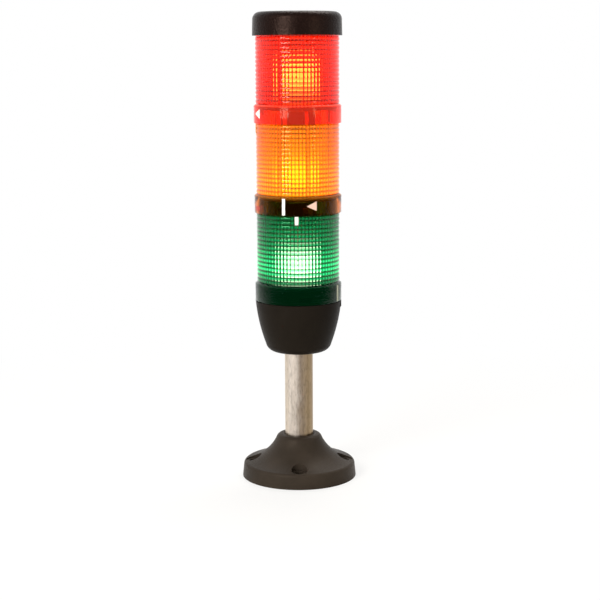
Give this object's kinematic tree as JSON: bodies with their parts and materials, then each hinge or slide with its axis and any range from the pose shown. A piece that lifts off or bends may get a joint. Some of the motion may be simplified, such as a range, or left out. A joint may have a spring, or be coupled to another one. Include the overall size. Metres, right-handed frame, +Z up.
{
  "type": "stack light",
  "caption": "Signal tower: round ribbed lamp tiers with twist locks on a black base housing, a short tube and a screw-down foot.",
  "frame": {"origin": "centre of the foot's underside, on the tube's axis", "axes": "+Z up along the tube; -Y towards the front, the side from which the marks were read; +X to the right"},
  "size_m": [0.067, 0.067, 0.27],
  "materials": {
    "foot_plastic": "fine-grained dark grey plastic",
    "black_plastic": "fine-grained black plastic",
    "aluminium": "drawn natural aluminium",
    "steel": "zinc-plated",
    "brass": "plain brass",
    "contact_bronze": "rolled spring bronze",
    "plated_metal": "nickel-plated",
    "pale_plastic": "pale moulded plastic",
    "seal_rubber": "soft black rubber",
    "green_lens": "clear green plastic, glossy",
    "amber_lens": "clear amber plastic, glossy",
    "red_lens": "clear red plastic, glossy",
    "lamp_glass": "clear lamp glass, lit"
  },
  "bodies": {
    "stand": {"foot": "foot_plastic", "foot_set_screw": "steel", "pole_tube": "aluminium", "base_housing": "black_plastic", "base_set_screw": "steel", "terminal_carrier": "pale_plastic", "terminal_clamps": "brass", "terminal_screws": "steel", "base_contact_springs": "contact_bronze"},
    "green_tier": {"green_lens": "green_lens", "green_lamp_deck": "black_plastic", "green_lamp_socket": "plated_metal", "green_socket_pins": "brass", "green_lamp_straps": "contact_bronze", "green_contact_strips": "contact_bronze", "green_lamp_cap": "plated_metal", "green_lamp_globe": "lamp_glass", "green_seal": "seal_rubber"},
    "amber_tier": {"amber_lens": "amber_lens", "amber_lamp_deck": "black_plastic", "amber_lamp_socket": "plated_metal", "amber_socket_pins": "brass", "amber_lamp_straps": "contact_bronze", "amber_contact_strips": "contact_bronze", "amber_lamp_cap": "plated_metal", "amber_lamp_globe": "lamp_glass", "amber_seal": "seal_rubber"},
    "red_tier": {"red_lens": "red_lens", "red_lamp_deck": "black_plastic", "red_lamp_socket": "plated_metal", "red_socket_pins": "brass", "red_lamp_straps": "contact_bronze", "red_contact_strips": "contact_bronze", "red_lamp_cap": "plated_metal", "red_lamp_globe": "lamp_glass", "red_seal": "seal_rubber"},
    "cap": {"top_cap": "black_plastic", "cap_seal": "seal_rubber"}
  },
  "joints": [
    {"name": "green_twist", "type": "hinge", "parent": "stand", "child": "green_tier", "pos_m": [0, 0, 0.1055], "axis": [0, 0, 1], "range_deg": [0, 17]},
    {"name": "amber_twist", "type": "hinge", "parent": "green_tier", "child": "amber_tier", "pos_m": [0, 0, 0.1565], "axis": [0, 0, 1], "range_deg": [0, 17]},
    {"name": "red_twist", "type": "hinge", "parent": "amber_tier", "child": "red_tier", "pos_m": [0, 0, 0.2075], "axis": [0, 0, 1], "range_deg": [0, 17]},
    {"name": "cap_twist", "type": "hinge", "parent": "red_tier", "child": "cap", "pos_m": [0, 0, 0.2585], "axis": [0, 0, 1], "range_deg": [0, 17]}
  ]
}
